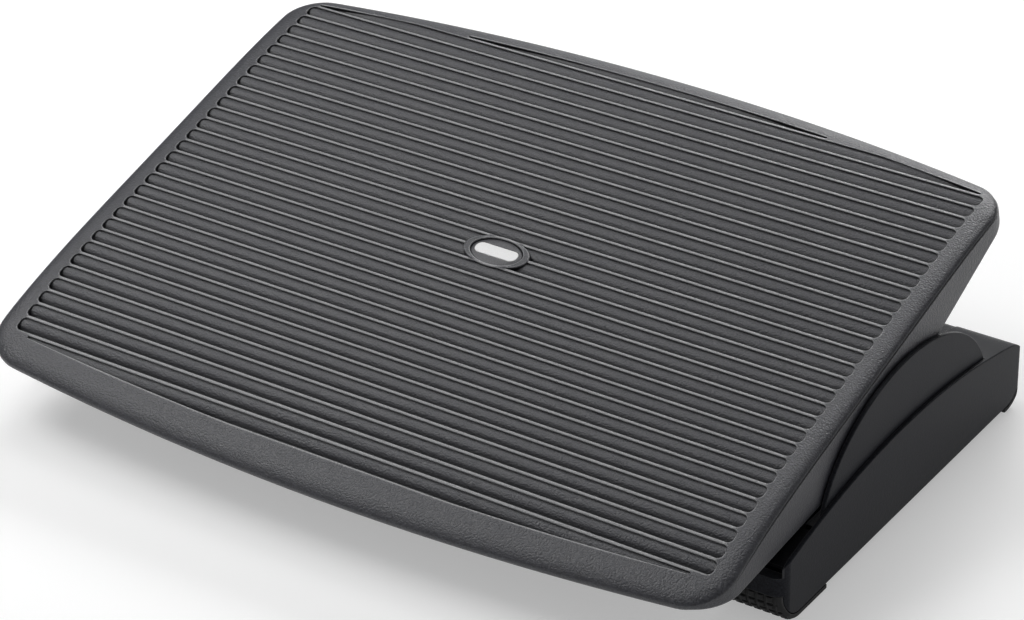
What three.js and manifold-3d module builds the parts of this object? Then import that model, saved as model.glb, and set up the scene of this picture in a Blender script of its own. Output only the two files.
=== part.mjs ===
// A tilting footrest for under a desk, in millimetres: +X to the user's right, +Y away from the user, +Z up.
// A ribbed deck tilts on two pivot towers, which stand in two side legs that a crossbar joins behind.
import * as THREE from "three";
import { mergeVertices } from "three/addons/utils/BufferGeometryUtils.js";
import Module from "manifold-3d";

const wasm = await Module();
wasm.setup();

// Fits and facets shared by all pieces
const seam = 0.3; // gap between two pieces that touch
const overrun = 3; // how far a cutter passes the face that it opens
const roundSides = 24; // facets round the pivot's pins and bores
const smallSides = 12; // facets round a screw or a peg
const cornerSteps = 4; // facets round a corner
const sideSteps = 18; // facets along a side of the deck
const bowSteps = 22; // facets along its front or rear edge

// Deck: plan, measured from its middle rib
const deckWidth = 449;
const deckFront = 173.2;
const deckRear = 161.5;
const deckFrontBow = 12.3; // how far the front edge swells forward
const deckRearBow = 20;
const deckCorner = 24;
const rimSide = 11.8; // smooth rim beside the ribs
const rimFront = 18.2;
const rimRear = 10;
const fieldFrontBow = 8.6;
const fieldRearBow = 14.2;
const fieldCorner = 8;

// Deck: section
const deckTilt = 15.3; // degrees at rest
const crownReach = 135.6; // distance at which the three crown heights are measured
const crownDish = 1.4;
const crownShift = 0.55;
const crownCurl = 5.27;
const rimSheet = 3;
const rimRoll = 8; // width of the rolled edge
const rimRollDrop = 2.2;
const lipHeight = 2.5; // edge of the deck below its roll
const skirtWall = 2.8;
const skirtDepth = 39.7; // where it is deepest, below the middle rib
const skirtDeepest = 15.5; // how far in front of the middle rib that is
const skirtRise_share = 0.176; // rise of its lower edge, away from there
const skirtPart = 1.2; // where skirt and tray part, below the rim's underside

// Deck: ribs on top
const ribPitch = 9.69;
const ribsEachWay = 15;
const ribLand = 1.3; // flat top of a rib
const ribSink = 0.2; // below the rim
const ribStepRun = 0.3; // small step in front of the flat top
const ribStepDrop = 0.5;
const ribRiser = 0.8;
const ribDepth = 2;
const ribSheet = 2.6; // wall under the ribs
const ribLap = 4; // how far the ribbed sheet runs in under the rim

// Deck: stiffening ribs underneath
const stiffener = 2.2;
const stiffenerDepth = 5;
const stiffenerTaper = 14;
const stiffenerRoot = 0.6; // how far they grow out of the ribbed sheet
const stiffenerAcross_shares = [-0.78, -0.4, 0, 0.4, 0.78];
const stiffenerAlong_shares = [-0.78, -0.39, 0, 0.39, 0.78];

// Badge
const badgePadLength = 39;
const badgePadWidth = 21.6;
const badgePadRise = 0.3; // over the middle rib
const badgeLength = 30;
const badgeWidth = 18;
const badgeThickness = 1.5;
const badgeSink = 0.4; // below its pad
const labelLength = 26;
const labelWidth = 7.6;
const labelThickness = 0.6;
const labelRise = 0.2; // over the disc

// Pivot
const pivotHeight = 69.5; // over the floor
const pivotBehindRib = 19.7; // behind the middle rib, along the deck
const pivotBelowRib = 30.3; // below the middle rib, square to the deck
const stubRadius = 7;
const bushWall = 1.7;
const bossWall = 5.7;
const bossLength = 14;
const bossWeb = 2.5; // walls that carry the boss
const ringRadius = 12;
const ringThickness = 1.4;
const washerRadius = 12.5;
const washerThickness = 2;
const pivotScrewHead = 4.5;
const pivotScrewHeadHeight = 2.6;
const pivotScrewRadius = 1.9;
const pivotScrewLength = 12; // in the stub

// Tilt stop: a pin on the tower in a curved slot of the deck's skirt
const tiltFlatter = 15.3; // degrees back from rest, which levels the deck
const tiltSteeper = 4.7; // degrees on from rest
const stopPinRadius = 2.5;
const stopReach = 19; // from the pivot to the pin
const stopRim = 4.2; // material round the slot
const stopPinSpare = 1.5; // how far the pin passes the skirt

// Leg
const legLength = 253;
const legWidth = 35.2;
const legWall = 2.1;
const legInnerWall = 2.6;
const legFloor = 3;
const legEndHeight = 32; // above the underside of the leg
const legArchRise = 18;
const legTopFrontCorner = 9;
const legTopRearCorner = 12;
const legBottomFrontCorner = 17.5;
const legBottomRearCorner = 13;
const legPlanCorner = 8;
const legNotch = 6; // front and inner walls stand this much lower than the outer one's ends
const legRoofLength = 28.5; // roofed stretch of the leg's channel, in front of the bulkhead
const legRoof = 2.4;
const legBulkhead = 2.4;
const socketLength = 29.1; // behind the bulkhead, where the crossbar plugs in
const legRib = 2.2;
const legRibInset = 24.5; // behind the leg's front end
const legRibHeight = 12;

// Rubber feet
const footThickness = 3.5;
const frontFootLength = 43.5;
const rearFootLength = 20;
const footTop = 19; // how high a foot climbs the end of the leg, over the floor
const treadPitch = 4;
const treadGroove = 1.4;
const treadDepth = 0.9;
const pegRadius = 2.5;
const pegGap = 18; // between the two pegs of a foot

// Tower
const sideClearance = 0.9; // between the deck's skirt and the tower
const towerPlate = 2.2;
const towerEndGap = 2.5; // between the dome's foot and the bulkhead
const towerWaist = 30; // height over the floor at which the dome is widest
const towerTop = 89; // over the floor
const flangeWidth = 22;
const flangeEndGap = 2; // between the flange and the leg's roof
const flangeThickness = 3;
const flangeLift = 5; // height of the seats that the flange stands on
const gusset = 2.4;
const gussetTop = 37; // over the floor
const gussetPlace_shares = [-0.62, -0.24, 0.24, 0.62];
const towerScrewPlace_share = 0.8;

// Countersunk screws, driven from below
const screwHead = 3.6;
const screwHeadHeight = 2;
const screwRadius = 1.7;
const screwTip = 1.4;
const screwRecess = 0.2; // head below the face round it
const screwSeat = 6; // radius of the seats in the leg
const screwBoss = 4.4;
const screwBossSpare = 1.5; // boss past the end of the screw
const towerScrewLength = 14;
const crossbarScrewLength = 16;
const crossbarScrewInset = 8.1; // behind the bulkhead
const crossbarScrewGap = 12;
const driveWidth = 0.9;
const driveLength = 4.2;
const driveDepth = 1;

// Crossbar
const barDepth = 41;
const barDrop = 0.5; // its top and back lie this far inside the leg's
const barLift = 4; // its lower edge over the leg's underside
const barWall = 2.5;
const barCorner = 12;
const barPlug = 24; // length of each end that sits in a leg
const barRibs = 3;
const barRib = 2.2;

// Places worked out from the sizes above, the right-hand side first
const deckHalf = deckWidth / 2;
const fieldHalf = deckHalf - rimSide;
const fieldFront = deckFront - rimFront;
const fieldRear = deckRear - rimRear;
const towerInner = deckHalf + sideClearance;
const towerOuter = towerInner + towerPlate;
const towerMiddle = towerInner + towerPlate / 2;
const legWallInner = towerOuter + seam;
const legOuter = legWallInner + legWall;
const legInner = legOuter - legWidth;
const legHalf = legLength / 2;
const legBase = footThickness;
const legFloorTop = legBase + legFloor;
const legEndInner = legHalf - footThickness - legFloor;
const socketFront = legEndInner - socketLength;
const legBulkheadPlace = socketFront - legBulkhead;
const legRoofStart = legBulkheadPlace - legRoofLength;
const legRibPlace = legHalf - legRibInset;
const towerHalfLength = legBulkheadPlace - towerEndGap;
const flangeHalfLength = legRoofStart - flangeEndGap;
const crossbarScrewPlace = socketFront + crossbarScrewInset;
const ringOuterFace = towerInner - seam;
const ringInnerFace = ringOuterFace - ringThickness;
const ringSeat = ringInnerFace - seam;
const bushBore = stubRadius + seam;
const bushRadius = bushBore + bushWall;
const bossBore = bushRadius + seam;
const bossRadius = bossBore + bossWall;
const bossEnd = deckHalf - bossLength;
const stubEnd = bossEnd - seam;
const washerFace = stubEnd - seam;
const washerBack = washerFace - washerThickness;
const slotHalf = stopPinRadius + seam;
const earRadius = stopReach + slotHalf + stopRim;
const flangeBase = legFloorTop + flangeLift + seam;
const flangeTop = flangeBase + flangeThickness;
const flangeInner = towerInner - flangeWidth;
const towerScrewX = towerInner - flangeWidth / 2;
const towerScrewPlace = towerScrewPlace_share * flangeHalfLength;
const screwFace = legBase + screwRecess;
const barBase = legBase + barLift;
const barRear = legHalf - barDrop;
const barFront = barRear - barDepth;
const barEnd = legInner - seam;
const plugEnd = barEnd + barPlug;
const crossbarScrewX = barEnd + barPlug / 2;
const frontPegPlace = (legBottomFrontCorner + frontFootLength) / 2 - legHalf;
const rearPegPlace = legHalf - legBottomRearCorner;
const degree = Math.PI / 180;

// Colours from the photograph
const blackDeck = new THREE.MeshStandardMaterial({ color: 0x3c3c40, roughness: 0.62, metalness: 0 });
const blackBase = new THREE.MeshStandardMaterial({ color: 0x2d2e32, roughness: 0.5, metalness: 0 });
const blackDisc = new THREE.MeshStandardMaterial({ color: 0x48484c, roughness: 0.45, metalness: 0 });
const whiteLabel = new THREE.MeshStandardMaterial({ color: 0xf2f2f2, roughness: 0.35, metalness: 0 });
const blackRubber = new THREE.MeshStandardMaterial({ color: 0x151516, roughness: 0.9, metalness: 0 });
const palePlastic = new THREE.MeshStandardMaterial({ color: 0xe6e4dc, roughness: 0.45, metalness: 0 });
const zincSteel = new THREE.MeshStandardMaterial({ color: 0xb9bcc0, roughness: 0.35, metalness: 0.9 });

// A closed geometry as a solid that can be cut and joined
function solidOf(geometry) {
  const bare = geometry.clone();
  bare.deleteAttribute("normal");
  bare.deleteAttribute("uv");
  const merged = mergeVertices(bare);
  const vertProperties = merged.getAttribute("position").array;
  const triVerts = new Uint32Array(merged.index.array);
  return new wasm.Manifold(new wasm.Mesh({ numProp: 3, vertProperties, triVerts }));
}

// A solid as a named mesh
function meshOf(name, solid, material) {
  const { vertProperties, triVerts } = solid.getMesh();
  const geometry = new THREE.BufferGeometry();
  geometry.setAttribute("position", new THREE.BufferAttribute(vertProperties, 3));
  geometry.setIndex(new THREE.BufferAttribute(triVerts, 1));
  geometry.computeVertexNormals();
  const mesh = new THREE.Mesh(geometry, material);
  mesh.name = name;
  return mesh;
}

function union(solids) {
  return solids.reduce((sum, solid) => sum.add(solid));
}

function cut(solid, cutters) {
  return cutters.reduce((left, cutter) => left.subtract(cutter), solid);
}

// Points on an ellipse's arc, both ends included; angles in degrees
function arc(centreX, centreY, radiusX, radiusY, from, to, steps) {
  return Array.from({ length: steps + 1 }, (_, i) => {
    const angle = (from + ((to - from) * i) / steps) * degree;
    return new THREE.Vector2(centreX + radiusX * Math.cos(angle), centreY + radiusY * Math.sin(angle));
  });
}

function point(a, b) {
  return new THREE.Vector2(a, b);
}

function extruded(points, from, to) {
  return new THREE.ExtrudeGeometry(new THREE.Shape(points), { depth: to - from, bevelEnabled: false });
}

// Prisms: X draws an outline in (y, z) along X, Y one in (x, z) along Y, and Z one in (x, y) along Z
function prismX(points, from, to) {
  const turn = new THREE.Matrix4().set(0, 0, 1, from, 1, 0, 0, 0, 0, 1, 0, 0, 0, 0, 0, 1);
  return solidOf(extruded(points, from, to).applyMatrix4(turn));
}

function prismY(points, from, to) {
  const turn = new THREE.Matrix4().set(1, 0, 0, 0, 0, 0, -1, to, 0, 1, 0, 0, 0, 0, 0, 1);
  return solidOf(extruded(points, from, to).applyMatrix4(turn));
}

function prismZ(points, from, to) {
  return solidOf(extruded(points, from, to).translate(0, 0, from));
}

function block(fromX, toX, fromY, toY, fromZ, toZ) {
  const box = new THREE.BoxGeometry(toX - fromX, toY - fromY, toZ - fromZ);
  return solidOf(box.translate((fromX + toX) / 2, (fromY + toY) / 2, (fromZ + toZ) / 2));
}

// Round rods, the second with another radius at its far end if one is given
function rodX(radius, from, to, y, z) {
  const rod = new THREE.CylinderGeometry(radius, radius, to - from, roundSides).rotateZ(-Math.PI / 2);
  return solidOf(rod.translate((from + to) / 2, y, z));
}

function rodZ(radius, from, to, x, y, farRadius = radius) {
  const rod = new THREE.CylinderGeometry(farRadius, radius, to - from, smallSides).rotateX(Math.PI / 2);
  return solidOf(rod.translate(x, y, (from + to) / 2));
}

// Height of the deck's top over its middle rib, at a distance behind it
function crown(behind) {
  const u = behind / crownReach;
  return crownDish * u ** 2 + crownShift * u ** 3 - crownCurl * u ** 4;
}

// Height of the lower edge of the deck's skirt or lip
function skirtFoot(behind) {
  const skirt = -skirtDepth + skirtRise_share * Math.abs(behind + skirtDeepest);
  return Math.min(skirt, crown(behind) - rimRollDrop - lipHeight);
}

// One end of a bowed outline: the bow's circle, the corner's circle inside it, and where they meet
function bowedEnd(half, reach, bow, corner) {
  const radius = (half ** 2 + bow ** 2) / (2 * bow);
  const centre = reach - radius;
  const cornerX = half - corner;
  const rise = Math.sqrt((radius - corner) ** 2 - cornerX ** 2);
  return { radius, centre, cornerX, cornerY: centre + rise, meet: Math.atan2(rise, cornerX) / degree };
}

// A closed plan outline with straight sides, rounded corners and bowed ends, and the outward normal at each
// point
function bowedOutline(half, front, rear, frontBow, rearBow, corner) {
  const outline = [];
  const addArc = (x, y, radius, from, to, steps) => {
    for (let i = 0; i < steps; i++) {
      const angle = (from + ((to - from) * i) / steps) * degree;
      const normal = new THREE.Vector2(Math.cos(angle), Math.sin(angle));
      outline.push({ at: point(x, y).addScaledVector(normal, radius), normal });
    }
  };
  const addSide = (x, from, to) => {
    for (let i = 0; i < sideSteps; i++) {
      outline.push({ at: point(x, from + ((to - from) * i) / sideSteps), normal: point(Math.sign(x), 0) });
    }
  };
  const back = bowedEnd(half, rear, rearBow, corner);
  const fore = bowedEnd(half, front, frontBow, corner);
  addSide(half, -fore.cornerY, back.cornerY);
  addArc(back.cornerX, back.cornerY, corner, 0, back.meet, cornerSteps);
  addArc(0, back.centre, back.radius, back.meet, 180 - back.meet, bowSteps);
  addArc(-back.cornerX, back.cornerY, corner, 180 - back.meet, 180, cornerSteps);
  addSide(-half, back.cornerY, -fore.cornerY);
  addArc(-fore.cornerX, -fore.cornerY, corner, 180, 180 + fore.meet, cornerSteps);
  addArc(0, -fore.centre, fore.radius, 180 + fore.meet, 360 - fore.meet, bowSteps);
  addArc(fore.cornerX, -fore.cornerY, corner, 360 - fore.meet, 360, cornerSteps);
  return outline;
}

// A closed ring through sections that each hold the same number of points
function ringThrough(sections) {
  const count = sections[0].length;
  const positions = sections.flat().flatMap((p) => [p.x, p.y, p.z]);
  const indices = [];
  sections.forEach((_, i) => {
    const next = (i + 1) % sections.length;
    for (let j = 0; j < count; j++) {
      const after = (j + 1) % count;
      indices.push(i * count + j, i * count + after, next * count + after);
      indices.push(i * count + j, next * count + after, next * count + j);
    }
  });
  const geometry = new THREE.BufferGeometry();
  geometry.setAttribute("position", new THREE.Float32BufferAttribute(positions, 3));
  geometry.setIndex(indices);
  return solidOf(geometry);
}

// The deck's rim, rolled edge, lip and skirt
function deckRim() {
  const edge = bowedOutline(deckHalf, deckFront, deckRear, deckFrontBow, deckRearBow, deckCorner);
  const field = bowedOutline(fieldHalf, fieldFront, fieldRear, fieldFrontBow, fieldRearBow, fieldCorner);
  const sections = edge.map(({ at, normal }, i) => {
    const inner = field[i].at;
    const inset = (distance, drop) => {
      const p = at.clone().addScaledVector(normal, -distance);
      return new THREE.Vector3(p.x, p.y, crown(p.y) - drop);
    };
    const roll = arc(0, 0, rimRoll, rimRollDrop, 0, 90, 3).reverse();
    const top = roll.map((p) => inset(rimRoll - p.x, rimRollDrop - p.y));
    const foot = skirtFoot(at.y);
    const behind = at.clone().addScaledVector(normal, -skirtWall);
    return [
      new THREE.Vector3(inner.x, inner.y, crown(inner.y)),
      ...top,
      new THREE.Vector3(at.x, at.y, foot),
      new THREE.Vector3(behind.x, behind.y, foot),
      inset(skirtWall, rimSheet + rimRollDrop / 2),
      inset(rimRoll, rimSheet),
      new THREE.Vector3(inner.x, inner.y, crown(inner.y) - rimSheet),
    ];
  });
  return ringThrough(sections);
}

// The sheet inside the rim with its ribs, each a flat top, a small step, a long face down to the front and a
// riser
function ribbedSheet() {
  const top = [];
  const under = [];
  const at = (behind, drop) => point(behind, crown(behind) - drop);
  for (let rib = ribsEachWay + 1; rib >= -ribsEachWay - 1; rib--) {
    const middle = rib * ribPitch;
    const front = middle - ribLand / 2;
    top.push(at(middle + ribLand / 2, ribSink), at(front, ribSink));
    top.push(at(front - ribStepRun, ribSink + ribStepDrop));
    top.push(at(middle - ribPitch + ribLand / 2 + ribRiser, ribSink + ribDepth));
    under.unshift(at(middle, ribDepth + ribSheet));
  }
  under.unshift(at(-(ribsEachWay + 2) * ribPitch, ribDepth + ribSheet));
  under.push(at(top[0].x, ribDepth + ribSheet));
  const sheet = prismX([...top, ...under], -deckHalf, deckHalf);
  const field = bowedOutline(fieldHalf, fieldFront, fieldRear, fieldFrontBow, fieldRearBow, fieldCorner);
  const plan = field.map(({ at: p, normal }) => p.clone().addScaledVector(normal, ribLap));
  return sheet.intersect(prismZ(plan, -skirtDepth, skirtDepth));
}

// Ribs across and along the underside of the deck
function deckStiffeners() {
  const root = ribDepth + ribSheet - stiffenerRoot;
  const foot = ribDepth + ribSheet + stiffenerDepth;
  const middle = (fieldRear - fieldFront) / 2;
  const half = (fieldRear + fieldFront) / 2;
  const across = stiffenerAcross_shares.map((share) => {
    const place = middle + share * half;
    const [low, high] = [crown(place) - foot, crown(place) - root];
    const reach = deckHalf - skirtWall / 2;
    return block(-reach, reach, place - stiffener / 2, place + stiffener / 2, low, high);
  });
  const places = Array.from({ length: sideSteps + 1 }, (_, i) => middle - half + (2 * half * i) / sideSteps);
  const top = places.map((place) => point(place, crown(place) - root));
  const bottom = places.map((place) => {
    const fromEnd = half - Math.abs(place - middle);
    const depth = stiffenerDepth * Math.min(1, fromEnd / stiffenerTaper);
    return point(place, crown(place) - root - stiffenerRoot - depth);
  });
  const outline = [...top, ...bottom.reverse()];
  const along = stiffenerAlong_shares.map((share) => {
    const x = share * fieldHalf;
    return prismX(outline, x - stiffener / 2, x + stiffener / 2);
  });
  return [...across, ...along];
}

// Boss for the right-hand pivot, with the ear that holds the stop slot and the walls that tie it to the deck
function pivotBoss() {
  const root = ribDepth + ribSheet - stiffenerRoot;
  const roofAt = (behind) => crown(behind) - root;
  const near = pivotBehindRib - bossRadius;
  const far = pivotBehindRib + bossRadius;
  const wallTop = deckHalf - skirtWall / 2;
  const sideWall = (from) => block(bossEnd, wallTop, from, from + bossWeb, -pivotBelowRib, roofAt(from));
  return [
    rodX(bossRadius, bossEnd, deckHalf, pivotBehindRib, -pivotBelowRib),
    rodX(earRadius, deckHalf - skirtWall, deckHalf, pivotBehindRib, -pivotBelowRib),
    sideWall(near),
    sideWall(pivotBehindRib - bossWeb / 2),
    sideWall(far - bossWeb),
  ];
}

// Curved slot for the stop pin: the pin hangs straight below the pivot, and the tilt turns the slot past it
function stopSlot() {
  const spare = Math.asin(seam / stopReach) / degree;
  const first = -90 + spare;
  const last = -90 - deckTilt - tiltSteeper - spare;
  const levelled = deckTilt - tiltFlatter;
  const start = first - levelled;
  const [outer, inner] = [stopReach + slotHalf, stopReach - slotHalf];
  const capAt = (angle, from, to) => {
    const x = pivotBehindRib + stopReach * Math.cos(angle * degree);
    const y = -pivotBelowRib + stopReach * Math.sin(angle * degree);
    return arc(x, y, slotHalf, slotHalf, from, to, cornerSteps).slice(1, -1);
  };
  const outline = [
    ...arc(pivotBehindRib, -pivotBelowRib, outer, outer, start, last, cornerSteps),
    ...capAt(last, last, last - 180),
    ...arc(pivotBehindRib, -pivotBelowRib, inner, inner, last, start, cornerSteps),
    ...capAt(start, start + 180, start),
  ];
  return prismX(outline, deckHalf - skirtWall - overrun, deckHalf + overrun);
}

function mirrored(solid) {
  const { vertProperties, triVerts } = solid.getMesh();
  const geometry = new THREE.BufferGeometry();
  geometry.setAttribute("position", new THREE.BufferAttribute(vertProperties, 3));
  geometry.setIndex(new THREE.BufferAttribute(triVerts.reverse(), 1));
  return solidOf(geometry.scale(-1, 1, 1));
}

function wholeDeck() {
  const padFloor = -ribDepth - ribSheet / 2;
  const pad = arc(0, 0, badgePadLength / 2, badgePadWidth / 2, 0, 360, roundSides).slice(1);
  const recessX = badgeLength / 2 + seam;
  const recessY = badgeWidth / 2 + seam;
  const recess = arc(0, 0, recessX, recessY, 0, 360, roundSides).slice(1);
  const recessFloor = badgePadRise - badgeSink - badgeThickness - seam;
  const boss = union(pivotBoss());
  const bossCuts = [
    rodX(bossBore, bossEnd - overrun, deckHalf + overrun, pivotBehindRib, -pivotBelowRib),
    rodX(ringRadius + seam, ringSeat, deckHalf + overrun, pivotBehindRib, -pivotBelowRib),
    stopSlot(),
  ];
  const whole = union([
    deckRim(),
    ribbedSheet(),
    ...deckStiffeners(),
    prismZ(pad, padFloor, badgePadRise),
    boss,
    mirrored(boss),
  ]);
  const discRecess = prismZ(recess, recessFloor, badgePadRise + overrun);
  return cut(whole, [discRecess, ...bossCuts, ...bossCuts.map(mirrored)]);
}

// Space that the right-hand skirt, its boss and its ends of the stiffening ribs fill, with a margin round it
function skirtSpace(margin) {
  const [front, rear] = [-deckFront - overrun, deckRear + overrun];
  const below = rimSheet + rimRollDrop / 2 + skirtPart - margin;
  const top = Array.from({ length: sideSteps + 1 }, (_, i) => {
    const place = rear + ((front - rear) * i) / sideSteps;
    return point(place, crown(place) - below);
  });
  const floor = -pivotBelowRib - earRadius - overrun;
  const outline = [point(front, floor), point(rear, floor), ...top];
  return prismX(outline, bossEnd - seam - margin, towerInner);
}

// Outline of the label, or of the recess that holds it
function labelOutline(margin) {
  const end = labelWidth / 2 + margin;
  const reach = (labelLength - labelWidth) / 2;
  const steps = 2 * cornerSteps;
  return [...arc(reach, 0, end, end, -90, 90, steps), ...arc(-reach, 0, end, end, 90, 270, steps)];
}

function badgeDisc() {
  const top = badgePadRise - badgeSink;
  const oval = arc(0, 0, badgeLength / 2, badgeWidth / 2, 0, 360, roundSides).slice(1);
  const floor = top + labelRise - labelThickness - seam;
  return prismZ(oval, top - badgeThickness, top).subtract(prismZ(labelOutline(seam), floor, top + overrun));
}

function badgeLabel() {
  const top = badgePadRise - badgeSink + labelRise;
  return prismZ(labelOutline(0), top - labelThickness, top);
}

// Right-hand pieces on the pivot, drawn round its axis
function pivotBush() {
  const bush = rodX(bushRadius, bossEnd, ringSeat, 0, 0);
  return bush.subtract(rodX(bushBore, bossEnd - overrun, ringSeat + overrun, 0, 0));
}

function frictionRing() {
  const ring = rodX(ringRadius, ringInnerFace, ringOuterFace, 0, 0);
  return ring.subtract(rodX(bushBore, ringInnerFace - overrun, ringOuterFace + overrun, 0, 0));
}

function pivotWasher() {
  const washer = rodX(washerRadius, washerBack, washerFace, 0, pivotHeight);
  const hole = rodX(pivotScrewRadius + seam, washerBack - overrun, washerFace + overrun, 0, pivotHeight);
  return washer.subtract(hole);
}

// Pan-headed screw along X with a cross recess
function pivotScrew() {
  const headFace = washerBack - seam;
  const headEnd = headFace - pivotScrewHeadHeight;
  const tip = stubEnd + pivotScrewLength;
  const screw = union([
    rodX(pivotScrewHead, headEnd, headFace, 0, pivotHeight),
    rodX(pivotScrewRadius, headEnd, tip, 0, pivotHeight),
  ]);
  const [half, reach] = [driveWidth / 2, driveLength / 2];
  const floor = headEnd + driveDepth;
  return cut(screw, [
    block(headEnd - overrun, floor, -reach, reach, pivotHeight - half, pivotHeight + half),
    block(headEnd - overrun, floor, -half, half, pivotHeight - reach, pivotHeight + reach),
  ]);
}

// Countersunk screw driven from below, and the hole that it needs up to a given height
function countersunkScrew(x, y, length) {
  const top = screwFace + length;
  const neck = screwFace + screwHeadHeight;
  const screw = union([
    rodZ(screwHead, screwFace, neck, x, y, screwRadius),
    rodZ(screwRadius, neck, top - screwTip, x, y),
    rodZ(screwRadius, top - screwTip, top, x, y, screwRadius / 2),
  ]);
  const [half, reach] = [driveWidth / 2, driveLength / 2];
  return cut(screw, [
    block(x - reach, x + reach, y - half, y + half, screwFace - overrun, screwFace + driveDepth),
    block(x - half, x + half, y - reach, y + reach, screwFace - overrun, screwFace + driveDepth),
  ]);
}

function countersunkHole(x, y) {
  const neck = screwFace + screwHeadHeight;
  return union([
    rodZ(screwHead + seam, legBase - overrun, screwFace, x, y),
    rodZ(screwHead + seam, screwFace, neck, x, y, screwRadius + seam),
    rodZ(screwRadius + seam, neck, flangeBase, x, y),
  ]);
}

function screwBore(x, y, from, length) {
  return rodZ(screwRadius + seam, from - overrun, screwFace + length + seam, x, y);
}

// Height of the leg's arched top at a distance behind its middle
function archHeight(behind, inset) {
  const radius = (legHalf ** 2 + legArchRise ** 2) / (2 * legArchRise);
  const top = legBase + legEndHeight + legArchRise;
  return top - radius + Math.sqrt((radius - inset) ** 2 - behind ** 2);
}

function archPoints(from, to, inset) {
  const count = Math.max(2, Math.round((roundSides * Math.abs(to - from)) / legLength));
  return Array.from({ length: count + 1 }, (_, i) => {
    const behind = from + ((to - from) * i) / count;
    return point(behind, archHeight(behind, inset));
  });
}

// Rounded corner between an upright end at `end` and the arch, listed from the end up to the arch
function topCorner(end, size, inset) {
  const start = end - Math.sign(end) * size;
  const sharp = archHeight(end, inset);
  const curve = new THREE.QuadraticBezierCurve(
    point(end, sharp - size),
    point(end, sharp),
    point(start, archHeight(start, inset)),
  );
  return curve.getPoints(cornerSteps).slice(0, -1);
}

// Side view of a leg, with the rebates under its ends that the feet fill
function legProfile() {
  const frontCentre = -legHalf + legBottomFrontCorner;
  const rearCentre = legHalf - legBottomRearCorner;
  const frontRadius = legBottomFrontCorner - footThickness;
  const rearRadius = legBottomRearCorner - footThickness;
  return [
    ...arc(frontCentre, legBottomFrontCorner, frontRadius, frontRadius, 180, 270, cornerSteps),
    ...arc(rearCentre, legBottomRearCorner, rearRadius, rearRadius, 270, 360, cornerSteps),
    point(legHalf - footThickness, footTop),
    point(legHalf, footTop),
    ...topCorner(legHalf, legTopRearCorner, 0),
    ...archPoints(legHalf - legTopRearCorner, -legHalf + legTopFrontCorner, 0),
    ...topCorner(-legHalf, legTopFrontCorner, 0).reverse(),
    point(-legHalf, footTop),
    point(-legHalf + footThickness, footTop),
  ];
}

// The channel in a leg: open on top, then roofed up to the bulkhead
function channelProfile() {
  const centre = -legHalf + legBottomFrontCorner;
  const radius = legBottomFrontCorner - footThickness - legFloor;
  const open = legBase + legEndHeight + legArchRise + overrun;
  return [
    point(-legEndInner, open),
    ...arc(centre, legBottomFrontCorner, radius, radius, 180, 270, cornerSteps),
    point(legBulkheadPlace, legFloorTop),
    ...archPoints(legBulkheadPlace, legRoofStart, legRoof),
    point(legRoofStart, open),
  ];
}

// The socket behind the bulkhead, or the plug that fills it with a margin round it
function socketProfile(margin) {
  const corner = legBottomRearCorner - footThickness - legFloor;
  const centre = legHalf - legBottomRearCorner;
  const radius = corner - margin;
  const rear = legEndInner - margin;
  return [
    point(socketFront + margin, legFloorTop + margin),
    ...arc(centre, legBottomRearCorner, radius, radius, 270, 360, cornerSteps),
    point(rear, archHeight(rear, legRoof + margin)),
    ...archPoints(rear, socketFront + margin, legRoof + margin).slice(1),
  ];
}

// Plan of a leg, rounded at its two outer corners
function legPlan() {
  const [x, y, r] = [legOuter - legPlanCorner, legHalf - legPlanCorner, legPlanCorner];
  return prismZ(
    [
      point(legInner, -legHalf),
      ...arc(x, -y, r, r, -90, 0, cornerSteps),
      ...arc(x, y, r, r, 0, 90, cornerSteps),
      point(legInner, legHalf),
    ],
    0,
    towerTop,
  );
}

// Outline of the tower's dome, with a margin round it where the leg's roof is cut for it
function domeProfile(margin) {
  const half = towerHalfLength + margin;
  const rise = towerTop - towerWaist + margin;
  const foot = legFloorTop + seam;
  return [point(half, foot), ...arc(0, towerWaist, half, rise, 0, 180, roundSides), point(-half, foot)];
}

function towerScrewSpots() {
  return { front: -towerScrewPlace, rear: towerScrewPlace };
}

function crossbarScrewSpots() {
  return { inner: crossbarScrewX - crossbarScrewGap / 2, outer: crossbarScrewX + crossbarScrewGap / 2 };
}

function pegSpots(behind) {
  const middle = (legInner + legOuter) / 2;
  return [-pegGap / 2, pegGap / 2].map((offset) => point(middle + offset, behind));
}

function sideLeg() {
  const outside = prismX(legProfile(), legInner, legOuter).intersect(legPlan());
  const notch = legBase + legEndHeight - legNotch;
  const tall = legBase + legEndHeight + legArchRise + overrun;
  const hollow = cut(outside, [
    prismX(channelProfile(), legInner + legInnerWall, legWallInner),
    prismX(socketProfile(0), legInner - overrun, legWallInner),
    block(legInner - overrun, legWallInner, -legHalf - overrun, legRoofStart, notch, tall),
    prismX(domeProfile(seam), towerInner - seam, legWallInner),
  ]);
  const rib = block(
    legInner + legInnerWall / 2,
    legOuter - legWall / 2,
    -legRibPlace - legRib / 2,
    -legRibPlace + legRib / 2,
    legFloorTop - legFloor / 2,
    legFloorTop + legRibHeight,
  );
  const seats = Object.values(towerScrewSpots()).map((y) =>
    rodZ(screwSeat, legBase, flangeBase - seam, towerScrewX, y),
  );
  const holes = [
    ...Object.values(towerScrewSpots()).map((y) => countersunkHole(towerScrewX, y)),
    ...Object.values(crossbarScrewSpots()).map((x) => countersunkHole(x, crossbarScrewPlace)),
    ...[...pegSpots(frontPegPlace), ...pegSpots(rearPegPlace)].map((p) =>
      rodZ(pegRadius + seam, legBase - overrun, legFloorTop + seam, p.x, p.y),
    ),
  ];
  return cut(union([hollow, rib, ...seats]), holes);
}

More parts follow.
